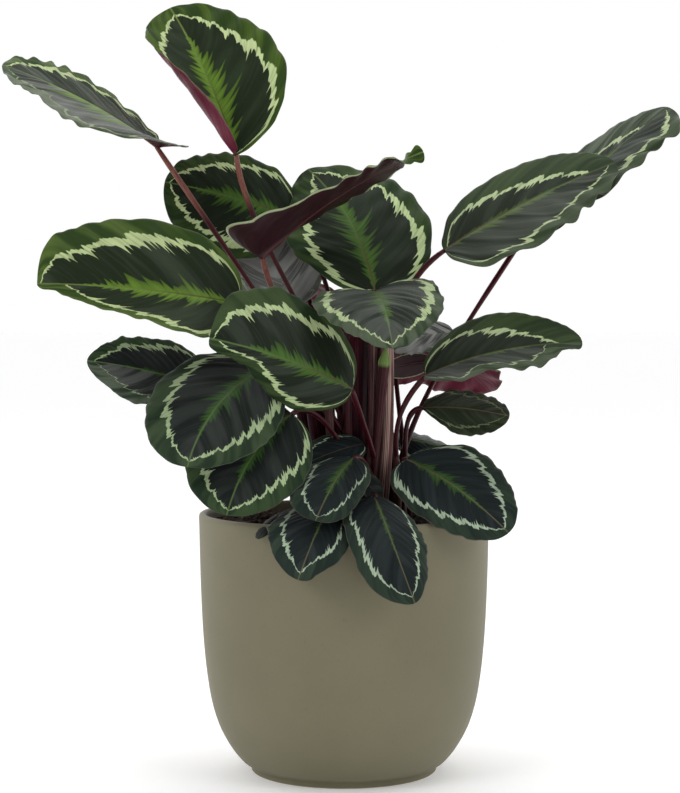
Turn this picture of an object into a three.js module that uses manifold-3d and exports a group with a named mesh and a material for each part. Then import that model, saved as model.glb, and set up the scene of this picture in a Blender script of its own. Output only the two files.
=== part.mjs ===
// A calathea medallion in a round-bottomed pot: each leaf is a waved blade on its own bent stem,
// and every stem stands in a plain hole in the soil.
// Millimetres, +Z up, the front of the plant on the -Y side. The origin is the centre of the
// pot's flat base.
import * as THREE from "three";
import { mergeVertices } from "three/addons/utils/BufferGeometryUtils.js";
import Module from "manifold-3d";

const wasm = await Module();
wasm.setup();

// Driving sizes of the pot and the soil
const potDiameter = 220;
const potHeight = 196;
const potWall = 5.5;
const potFloor = 9;
const footDiameter = 139;
const footHeight = 4;
const roundSegments = 48;
const soilBelowRim = 9;
const soilMound = 4; // how much higher the soil is in the middle
const soilGap = 0.3; // from the pot's wall

// Driving sizes of every leaf and stem
const bladeThickness = 0.8;
const bladeEnd = 1.6; // half width of the blade's two narrow ends
const baseRound = 0.45; // smaller is blunter
const tipRound = 0.5;
const rowsPerWave = 3;
const columns = [-1, -0.5, 0, 0.5, 1];
const veinLean = 0.13; // how far a side vein runs to the tip before it meets the edge
const baseLobe = 0.05; // how far the blade reaches back beside its stem
const stemSides = 5;
const stemSteps = 7;
const footRadius = 2.6;
const stemRadius = 1.8;
const jointRadius = 2.1; // the short swelling under the blade
const tipRadius = 1; // where the swelling draws in to the blade
const tipLength = 3;
const seatGap = 0.6; // between a stem's end and its blade
const stemDepth = 24; // how deep a stem stands in the soil
const holeClearance = 0.5;

const potRadius = potDiameter / 2;
const soilTop = potHeight - soilBelowRim;
const crownTop = soilTop + soilMound;

const materials = {
  pot: new THREE.MeshStandardMaterial({ color: 0x7b755d, roughness: 0.6, metalness: 0 }),
  soil: new THREE.MeshStandardMaterial({ color: 0x1d130e, roughness: 0.95, metalness: 0 }),
  blade: new THREE.MeshStandardMaterial({
    color: 0x26401f,
    roughness: 0.4,
    metalness: 0,
    side: THREE.DoubleSide,
  }),
  stem: new THREE.MeshStandardMaterial({ color: 0x4a1620, roughness: 0.35, metalness: 0 }),
};

// Every leaf. from and to are the ends of the midrib and faces is where the upper face looks.
// width is how wide the left and right halves are. arch lifts the middle of the midrib towards
// the upper face and sway moves it to the right. left and right hold the fold of that half at
// the midrib and its further curl to the edge, in degrees down from the upper face, and again
// for the tip where that differs. wave is the height and the count of the edge's waves.
// root is where the stem stands, rise how far it keeps straight, via what it bends towards.
const leaves = [
  { name: "01", from: [-142, 10, 474], to: [-255, -15, 532], faces: [0.42, -0.36, 0.84], width: [36, 38], arch: 3, left: [-2, 8], right: [0, 10], wave: [2.2, 7], root: [21, 4], rise: 50, via: [-78, 7, 378] },
  { name: "02", from: [-82, 14, 468], to: [-135, 50, 584], faces: [-0.1, -0.9, 0.3], width: [51, 51], arch: 6, sway: 8, left: [-30, -110, -24, -55], right: [2, 12], wave: [1.8, 7], root: [25, -3], rise: 90, via: [-77, 22, 400] },
  { name: "03", from: [-40, 42, 422], to: [-144, 30, 434], faces: [0.1, -0.85, 0.5], width: [44, 44], arch: 4, left: [4, 15], right: [-4, 10], wave: [2, 7], root: [17, 11], rise: 60, via: [-10, 25, 394] },
  { name: "04", from: [-77, -35, 354], to: [-221, -75, 368], faces: [0, -0.79, 0.62], width: [50, 54], arch: 5, left: [-14, 0, -14, -34], right: [-24, -10], wave: [2.2, 7], root: [9, -3], rise: 60 },
  { name: "05", from: [-61, -30, 388], to: [58, -45, 465], faces: [-0.52, 0.05, 0.85], width: [38, 40], arch: 1, left: [-5, -10], right: [-62, -50, 2, -10], wave: [2.2, 7], lobe: 0.22, root: [17, -3], rise: 80, via: [-48, -28, 330] },
  { name: "06", from: [23, -14, 364], to: [-28, 60, 460], faces: [0.1, -0.82, 0.5], width: [57, 57], arch: 4, sway: 8, left: [2, 14], right: [2, 14], wave: [2, 7], root: [33, -3], rise: 70, via: [28, -8, 330] },
  { name: "07", from: [6, -74, 292], to: [-95, -108, 329], faces: [0.1, -0.75, 0.65], width: [36, 55], arch: 6, left: [36, 30, 36, 60], right: [-20, 4], wave: [2, 6], root: [29, -10], rise: 40 },
  { name: "08", from: [-107, -30, 293], to: [-189, -45, 312], faces: [0, -0.78, 0.62], width: [26, 31], arch: 4, left: [30, 20], right: [0, 10], wave: [1.8, 6], root: [5, 4], rise: 40 },
  { name: "09", from: [-57, -50, 308], to: [-110, -118, 239], faces: [-0.3, -0.85, 0.42], width: [46, 50], arch: 6, sway: 8, left: [10, 18], right: [-8, 4], wave: [1.6, 6], root: [21, -10], rise: 50 },
  { name: "10", from: [-38, -70, 274], to: [-83, -108, 204], faces: [-0.2, -0.88, 0.4], width: [42, 46], arch: 4, sway: 6, left: [0, 14], right: [-6, 4], wave: [1.5, 6], root: [13, -10], rise: 40 },
  { name: "11", from: [7, -56, 241], to: [-20, -126, 202], faces: [0.2, -0.75, 0.6], width: [28, 34], arch: 6.5, sway: 2, left: [-4, 6], right: [12, 29], wave: [1.2, 5], lobe: 0.1, root: [28, -17], rise: 20 },
  { name: "12", from: [-14, -66, 207], to: [-30, -130, 163], faces: [-0.1, -0.75, 0.66], width: [34, 36], arch: 18, left: [0, 6], right: [4, 14], wave: [1.2, 5], root: [20, -17], rise: 10 },
  { name: "13", from: [22, -72, 214], to: [49, -132, 145], faces: [0, -0.78, 0.62], width: [30, 29], arch: 26, left: [14, 30], right: [-4, 8], wave: [1.3, 5], root: [36, -17], rise: 12 },
  { name: "14", from: [46, -40, 239], to: [118, -85, 189], faces: [0.2, -0.8, 0.56], width: [40, 40], arch: 8, left: [-2, 14], right: [-4, 2], wave: [1.6, 6], root: [44, -17], rise: 20, via: [42, -25, 240] },
  { name: "15", from: [38, 30, 250], to: [104, 62, 228], faces: [0.2, -0.4, 0.9], width: [30, 30], arch: 6, left: [6, 18], right: [6, 18], wave: [1.6, 5], root: [37, 18], rise: 25, via: [33, 22, 248] },
  { name: "16", from: [59, -15, 276], to: [123, -30, 270], faces: [0, -0.7, 0.7], width: [24, 24], arch: 4, left: [4, 14], right: [4, 14], wave: [1.2, 5], root: [49, -3], rise: 30, via: [48, -10, 262] },
  { name: "17", from: [60, -35, 301], to: [174, -55, 325], faces: [-0.12, -0.56, 0.82], width: [40, 38], arch: 8, left: [-12, 6], right: [-18, 4, -18, -8], wave: [1.8, 6], root: [45, -10], rise: 40, via: [46, -26, 262] },
  { name: "18", from: [76, 0, 395], to: [206, 10, 461], faces: [-0.35, -0.6, 0.7], width: [45, 46], arch: 5, left: [-10, 14], right: [4, 12, 4, -12], wave: [2.2, 7], root: [41, -3], rise: 60, via: [42, 0, 348] },
  { name: "19", from: [137, 30, 405], to: [262, 60, 505], faces: [-0.5, -0.45, 0.74], width: [44, 44], arch: 4, left: [-6, 4], right: [0, 4], wave: [2, 7], root: [37, 4], rise: 70, via: [94, 16, 338] },
  { name: "20", from: [-42, 20, 352], to: [-70, 70, 438], faces: [0, -0.85, 0.5], width: [38, 38], arch: 2, left: [4, 8], right: [4, 8], wave: [2.4, 6], root: [9, 11], rise: 50, via: [-34, 20, 318] },
  { name: "21", from: [23, -32, 363], to: [34, -112, 322], faces: [0.06, -0.4, 0.9], width: [45, 49], arch: 9, left: [-4, 8], right: [-4, 4], wave: [2, 6], root: [37, -10], rise: 80, via: [30, -22, 325] },
  { name: "22", from: [48, 40, 332], to: [118, 92, 284], faces: [0.2, 0.55, 0.8], width: [39, 39], arch: 6, left: [6, 18], right: [6, 18], wave: [2, 6], root: [49, 11], rise: 60 },
  { name: "23", from: [-30, 44, 364], to: [-52, 104, 346], faces: [-0.1, 0.6, 0.8], width: [35, 35], arch: 6, left: [6, 16], right: [6, 16], wave: [2, 6], root: [29, 18], rise: 70, via: [-27, 30, 334] },
  { name: "24", from: [4, 36, 344], to: [-6, 98, 272], faces: [0, 0.75, 0.66], width: [34, 38], arch: 8, left: [6, 18], right: [6, 18], wave: [1.8, 6], root: [33, 11], rise: 60, via: [8, 20, 326] },
  { name: "25", from: [-2, 48, 262], to: [-72, 112, 214], faces: [-0.3, 0.4, 0.86], width: [40, 40], arch: 8, left: [6, 18], right: [6, 18], wave: [1.6, 6], root: [13, 18], rise: 30 },
  { name: "26", from: [28, 56, 236], to: [24, 128, 184], faces: [0, 0.6, 0.8], width: [35, 35], arch: 16, left: [4, 18], right: [4, 18], wave: [1.6, 5], root: [21, 18], rise: 20 },
  { name: "27", from: [64, 46, 226], to: [112, 100, 194], faces: [0.2, 0.5, 0.84], width: [31, 31], arch: 8, left: [4, 18], right: [4, 18], wave: [1.6, 5], root: [45, 18], rise: 16 },
  { name: "28", from: [-40, 50, 290], to: [-108, 104, 278], faces: [-0.3, 0.4, 0.86], width: [36, 36], arch: 9, left: [6, 16], right: [6, 16], wave: [1.8, 6], root: [5, 18], rise: 40 },
];

const vector = (a) => new THREE.Vector3(...a);
const radians = THREE.MathUtils.degToRad;
const { clamp, lerp, smoothstep } = THREE.MathUtils;

// Half width along the midrib as a share of the widest: round at the base, short pointed tip.
const widestAt = baseRound / (baseRound + tipRound);
const outline = (s) => {
  const u = clamp(s, 0, 1);
  return (u / widestAt) ** baseRound * ((1 - u) / (1 - widestAt)) ** tipRound;
};

// The blade's middle surface: q runs along the midrib, t from the left edge (-1) to the right (1).
function bladeSurface(leaf) {
  const from = vector(leaf.from);
  const to = vector(leaf.to);
  const chord = to.clone().sub(from);
  const length = chord.length();
  const along = chord.clone().divideScalar(length);
  const up = vector(leaf.faces);
  up.addScaledVector(along, -up.dot(along)).normalize();
  const right = new THREE.Vector3().crossVectors(along, up);
  const middle = from.clone().add(to).multiplyScalar(0.5)
    .addScaledVector(up, 2 * (leaf.arch ?? 0))
    .addScaledVector(right, 2 * (leaf.sway ?? 0));
  const [waveHeight, waves] = leaf.wave;
  const lobe = leaf.lobe ?? baseLobe;

  // A place on the midrib's curve and its axes; beyond the ends it goes on straight.
  const midrib = (s) => {
    const u = clamp(s, 0, 1);
    const place = from.clone().multiplyScalar((1 - u) ** 2)
      .addScaledVector(middle, 2 * u * (1 - u))
      .addScaledVector(to, u * u);
    const tangent = middle.clone().sub(from).multiplyScalar(1 - u)
      .addScaledVector(to.clone().sub(middle), u).normalize();
    place.addScaledVector(tangent, (s - u) * length);
    const side = right.clone().addScaledVector(tangent, -right.dot(tangent)).normalize();
    return { place, tangent, side, normal: new THREE.Vector3().crossVectors(side, tangent) };
  };

  const at = (q, t) => {
    const reach = Math.abs(t);
    const edge = q + veinLean * Math.sin(Math.PI * q);
    const wide = Math.max(leaf.width[t < 0 ? 0 : 1] * outline(edge), bladeEnd);
    const back = lobe * reach * (wide / leaf.width[t < 0 ? 0 : 1]) * Math.max(1 - q / 0.35, 0) ** 2;
    const { place, side, normal } = midrib(q + (edge - q) * Math.pow(reach, 1.3) - back);
    const half = t < 0 ? leaf.left : leaf.right;
    const [foldFrom, curlFrom, foldTo = foldFrom, curlTo = curlFrom] = half;
    const settled = 1 - (1 - q) ** 3; // most of the change is near the base
    const a = radians(lerp(foldFrom, foldTo, settled));
    const c = radians(lerp(curlFrom, curlTo, settled)) * clamp(wide / 14, 0, 1) || 1e-4;
    const turn = a + c * reach;
    const out = (wide / c) * (Math.sin(turn) - Math.sin(a));
    const lift = (wide / c) * (Math.cos(turn) - Math.cos(a));
    const wave = waveHeight * reach ** 1.5 * Math.sin(2 * Math.PI * waves * q + (t < 0 ? 0.9 : 0))
      * clamp(wide / 20, 0, 1);
    const sign = Math.sign(t);
    return place
      .addScaledVector(side, sign * (out + wave * Math.sin(turn)))
      .addScaledVector(normal, lift + wave * Math.cos(turn));
  };
  return { at, midrib };
}

function bladeGeometry(leaf) {
  const { at } = bladeSurface(leaf);
  const rows = leaf.wave[1] * rowsPerWave;
  const across = columns.length;
  const upper = [];
  const lower = [];
  const step = 1e-3;
  for (let i = 0; i <= rows; i++)
    for (const t of columns) {
      const q = i / rows;
      const place = at(q, t);
      const beside = clamp(q, 0.04, 0.97); // the two narrow ends lean as the blade beside them does
      const sideways = at(beside, Math.min(t + step, 1)).sub(at(beside, Math.max(t - step, -1)));
      const onward = at(beside + step, t).sub(at(beside - step, t));
      const normal = sideways.cross(onward).normalize();
      upper.push(...place.clone().addScaledVector(normal, bladeThickness / 2));
      lower.push(...place.addScaledVector(normal, -bladeThickness / 2));
    }
  const count = upper.length / 3;
  const index = [];
  const quad = (a, b, c, d) => index.push(a, b, c, a, c, d);
  const node = (i, j) => i * across + j;
  for (let i = 0; i < rows; i++)
    for (let j = 0; j < across - 1; j++) {
      const a = node(i, j), b = node(i, j + 1), c = node(i + 1, j + 1), d = node(i + 1, j);
      const pairs = columns[j] < 0 && i > 0 ? [[a, b, d], [b, c, d]] : [[a, b, c], [a, c, d]];
      for (const [x, y, z] of pairs) index.push(x, y, z, count + x, count + z, count + y);
    }
  for (let i = 0; i < rows; i++) {
    const a = node(i, 0), b = node(i + 1, 0);
    quad(a, b, count + b, count + a);
    const c = node(i, across - 1), d = node(i + 1, across - 1);
    quad(d, c, count + c, count + d);
  }
  for (let j = 0; j < across - 1; j++) {
    const a = node(0, j), b = node(0, j + 1);
    quad(b, a, count + a, count + b);
    const c = node(rows, j), d = node(rows, j + 1);
    quad(c, d, count + d, count + c);
  }
  const geometry = new THREE.BufferGeometry();
  geometry.setAttribute("position", new THREE.Float32BufferAttribute([...upper, ...lower], 3));
  geometry.setIndex(index);
  return geometry;
}

// The stem's line: straight up through the soil, then one bend to the blade.
function stemLine(leaf) {
  const foot = new THREE.Vector3(...leaf.root, crownTop - stemDepth);
  const start = new THREE.Vector3(...leaf.root, crownTop + 0.5);
  const { place, tangent } = bladeSurface(leaf).midrib(0);
  const via = leaf.via ? vector(leaf.via) : place.clone().addScaledVector(tangent, -28);
  const arriving = place.clone().sub(via).normalize();
  const tip = place.clone().addScaledVector(arriving, -seatGap - bladeThickness / 2);
  const bend = new THREE.CubicBezierCurve3(
    start,
    start.clone().add(new THREE.Vector3(0, 0, leaf.rise)),
    via,
    tip.clone().addScaledVector(arriving, -tipLength),
  );
  return [foot, ...bend.getPoints(stemSteps - 1), tip];
}

const stemWidth = (u) => (u > 0.99 ? tipRadius : lerp(footRadius, stemRadius, smoothstep(u, 0.1, 0.5))
  + (jointRadius - stemRadius) * smoothstep(u, 0.7, 0.85));

// A closed tube through the points, with its radius given along it.
function tube(points, radiusAt) {
  const last = points.length - 1;
  const cross = new THREE.Vector3(1, 0, 0);
  const rings = points.map((place, i) => {
    const tangent = points[Math.min(i + 1, last)].clone()
      .sub(points[Math.max(i - 1, 0)]).normalize();
    cross.addScaledVector(tangent, -cross.dot(tangent)).normalize();
    return { place, a: cross.clone(), b: new THREE.Vector3().crossVectors(tangent, cross) };
  });
  const geometry = new THREE.CylinderGeometry(1, 1, 1, stemSides, last);
  const position = geometry.getAttribute("position");
  const moved = new THREE.Vector3();
  for (let i = 0; i < position.count; i++) {
    const u = position.getY(i) + 0.5;
    const ring = rings[Math.round(u * last)];
    const radius = radiusAt(u);
    moved.copy(ring.place)
      .addScaledVector(ring.a, -radius * position.getX(i))
      .addScaledVector(ring.b, radius * position.getZ(i));
    position.setXYZ(i, ...moved);
  }
  return geometry;
}

function bare(geometry) {
  geometry.deleteAttribute("normal");
  geometry.deleteAttribute("uv");
  return mergeVertices(geometry, 1e-3);
}

function solid(geometry) {
  const merged = bare(geometry);
  return new wasm.Manifold(new wasm.Mesh({
    numProp: 3,
    vertProperties: merged.getAttribute("position").array,
    triVerts: new Uint32Array(merged.index.array),
  }));
}

function geometryOf(manifold) {
  const { vertProperties, triVerts } = manifold.getMesh();
  const geometry = new THREE.BufferGeometry();
  geometry.setAttribute("position", new THREE.BufferAttribute(vertProperties, 3));
  geometry.setIndex(new THREE.BufferAttribute(triVerts, 1));
  return geometry;
}

// The pot's outside, as radius and height: a small upright foot, a full round bottom and a wall
// that widens a little to the rim.
const outside = [
  [footDiameter / 2, 0], [footDiameter / 2, footHeight], [75, 6.5], [81.5, 13.5], [88, 22.5],
  [94.5, 35], [100, 52], [103.8, 74], [106.7, 104], [108.6, 145], [potRadius - 0.4, potHeight - 1.5],
];
// The inside keeps the wall's thickness, from the rim down to the floor.
const inside = [
  [104, potHeight - 1.5], [103.2, 145], [101.2, 104], [98.2, 74], [94, 52], [87.8, 35],
  [80.5, 22.5], [72, 14.5], [62, potFloor],
];
const rim = [[108.6, potHeight], [105.2, potHeight]];

function lathe(profile) {
  const points = profile.map(([radius, height]) => new THREE.Vector2(radius, height));
  return new THREE.LatheGeometry(points, roundSegments).rotateX(Math.PI / 2);
}

const soilSide = inside.slice(1).reverse().map(([radius, height]) => [radius - soilGap, height]);
const soilProfile = [
  [0, potFloor], ...soilSide, [103.5, soilTop], [88, soilTop + 1.5], [60, crownTop - 0.4], [0, crownTop],
];

const group = new THREE.Group();
const add = (name, geometry, material) => {
  const mesh = new THREE.Mesh(geometry, material);
  mesh.name = name;
  group.add(mesh);
};

add("pot", bare(lathe([[0, 0], ...outside, ...rim, ...inside, [0, potFloor]])), materials.pot);

let soil = solid(lathe(soilProfile));
for (const leaf of leaves) {
  const [foot] = stemLine(leaf);
  const above = foot.clone().setZ(crownTop + 10);
  soil = soil.subtract(solid(tube([foot, above], () => footRadius + holeClearance)));
}
add("soil", geometryOf(soil), materials.soil);

for (const leaf of leaves) {
  add(`leaf_${leaf.name}`, bladeGeometry(leaf), materials.blade);
  add(`stem_${leaf.name}`, bare(tube(stemLine(leaf), stemWidth)), materials.stem);
}

export default group;
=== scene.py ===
import math
import bpy
import numpy as np
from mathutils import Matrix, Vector


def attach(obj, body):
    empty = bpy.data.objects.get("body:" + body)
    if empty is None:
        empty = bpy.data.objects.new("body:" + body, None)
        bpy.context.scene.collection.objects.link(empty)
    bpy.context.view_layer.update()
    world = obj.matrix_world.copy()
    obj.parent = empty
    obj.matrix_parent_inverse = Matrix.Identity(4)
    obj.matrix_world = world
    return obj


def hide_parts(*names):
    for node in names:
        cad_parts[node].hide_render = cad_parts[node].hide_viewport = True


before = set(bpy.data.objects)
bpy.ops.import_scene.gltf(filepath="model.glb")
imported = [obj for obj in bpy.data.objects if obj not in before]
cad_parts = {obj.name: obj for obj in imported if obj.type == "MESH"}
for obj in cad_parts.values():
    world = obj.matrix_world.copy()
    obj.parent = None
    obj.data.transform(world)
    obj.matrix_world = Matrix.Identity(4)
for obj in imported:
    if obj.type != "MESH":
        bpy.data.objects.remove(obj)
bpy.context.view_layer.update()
mm = 0.001


# Shader maths

def tint(red, green, blue, strength=1.0, lift=0):
    # a colour as a picture shows it, turned into the linear one that a shader wants
    linear = lambda v: v / 12.92 if v <= 0.04045 else ((v + 0.055) / 1.055) ** 2.4
    return tuple(linear((v * strength + lift) / 255) for v in (red, green, blue))


class Link:
    # an output socket that can be used in plain arithmetic
    def __init__(self, paint, socket):
        self.paint, self.socket = paint, socket

    def math(self, operation, *values):
        return self.paint.node("Math", {"operation": operation}, dict(enumerate(values)))

    def saw(self, peak):
        # teeth that rise from 0 to 1 up to their peak and fall again, one to a unit
        share = self.math("FRACT", self)
        return self.math("MINIMUM", share / peak, (1 - share) / (1 - peak))

    def __add__(self, other): return self.math("ADD", self, other)
    def __radd__(self, other): return self.math("ADD", other, self)
    def __sub__(self, other): return self.math("SUBTRACT", self, other)
    def __rsub__(self, other): return self.math("SUBTRACT", other, self)
    def __mul__(self, other): return self.math("MULTIPLY", self, other)
    def __rmul__(self, other): return self.math("MULTIPLY", other, self)
    def __truediv__(self, other): return self.math("DIVIDE", self, other)
    def __pow__(self, other): return self.math("POWER", self, other)
    def __abs__(self): return self.math("ABSOLUTE", self)
    def __gt__(self, other): return self.math("GREATER_THAN", self, other)


class Paint:
    # one material and its nodes
    def __init__(self, name):
        self.material = bpy.data.materials.new(name)
        self.material.use_nodes = True
        self.tree = self.material.node_tree
        self.tree.nodes.clear()

    def node(self, kind, settings=None, sockets=None, out=0):
        made = self.tree.nodes.new("ShaderNode" + kind)
        for key, value in (settings or {}).items():
            setattr(made, key, value)
        for key, value in (sockets or {}).items():
            socket = made.inputs[key]
            if isinstance(value, Link):
                self.tree.links.new(value.socket, socket)
            elif isinstance(value, tuple) and socket.type == "RGBA":
                socket.default_value = (*value, 1)
            else:
                socket.default_value = value
        return Link(self, made.outputs[out])

    def noise(self, vector, scale=1.0, detail=2.0):
        return self.node("TexNoise", None, {"Vector": vector, "Scale": scale, "Detail": detail}, "Fac")

    def mark(self, name, out="Vector"):
        # a number or vector that meshPiece has left on the mesh's points
        return self.node("Attribute", {"attribute_name": name}, out=out)

    def mix(self, share, first, second):
        return self.node("Mix", {"data_type": "RGBA"}, {0: share, 6: first, 7: second}, 2)

    def ramp(self, value, low, high):
        # 0 below low, 1 above high, smooth between them
        return self.node("MapRange", {"interpolation_type": "SMOOTHSTEP"},
                         {0: value, 1: low, 2: high})

    def combine(self, x, y, z):
        return self.node("CombineXYZ", None, {0: x, 1: y, 2: z})

    def split(self, vector):
        return [self.node("SeparateXYZ", None, {0: vector}, k) for k in range(3)]

    def bump(self, height, strength, distance):
        return self.node("Bump", None,
                         {"Height": height, "Strength": strength, "Distance": distance})

    def finish(self, sockets):
        shader = self.node("BsdfPrincipled", None, sockets)
        end = self.tree.nodes.new("ShaderNodeOutputMaterial")
        self.tree.links.new(shader.socket, end.inputs["Surface"])
        return self.material


# Leaves

bladeShape = {
    "thickness": 0.55,
    "edgeThickness": 0.3,
    "end": 1.6,             # half width of the two narrow ends
    "baseRound": 0.45,
    "tipRound": 0.5,
    "veinLean": 0.13,       # how much further along the edge is than the midrib it belongs to
    "lobe": 0.05,           # how far the base reaches back past the stem, as a share of the width
    "lobeEnd": 0.35,        # where along the blade that ends
    "rows": 104,
    "halfColumns": 22,
    "even": 0.35,           # share of even steps between rows and columns; the rest crowd together
    "scallop": 0.022,       # how far the edge swings in and out, as a share of the half width
    "scallopMean": 0.62,
    "waveShift": 0.9,       # the left edge's waves against the right edge's
    "waveDrift": (1.1, 1.7),  # how uneven the waves are, and how often that changes
    "curlWidth": 14,        # a blade narrower than this curls less
    "waveWidth": 20,        # and waves less than this
    "settle": 3,            # how soon fold and curl reach what they are at the tip
    "pleats": 13,           # side veins on each half
    "pleatHeight": 0.22,
    "ribHeight": 1.9,       # the midrib under the blade
    "ribEnd": 0.35,
    "groove": 0.3,          # the midrib's line on the upper face
    "grooveWidth": 0.9,
}
veinSlope = (0.22, 0.08)    # how far the side veins run on towards the tip, and how they bend

stemShape = {
    "foot": 2.9,
    "middle": 1.8,
    "joint": 2.15,          # the swelling under the blade
    "tipDrawnIn": 0.18,
    "sides": 14,
    "steps": 44,
    "depth": 24,
    "crown": 191,           # the soil's height in the middle
    "above": 0.5,           # where the bend starts, over the crown
    "lead": 28,             # how far before the blade a stem turns to it, where no via is given
    "gap": 0.4,             # between the stem's end and the blade
    "below": 0.8,
}

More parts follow.
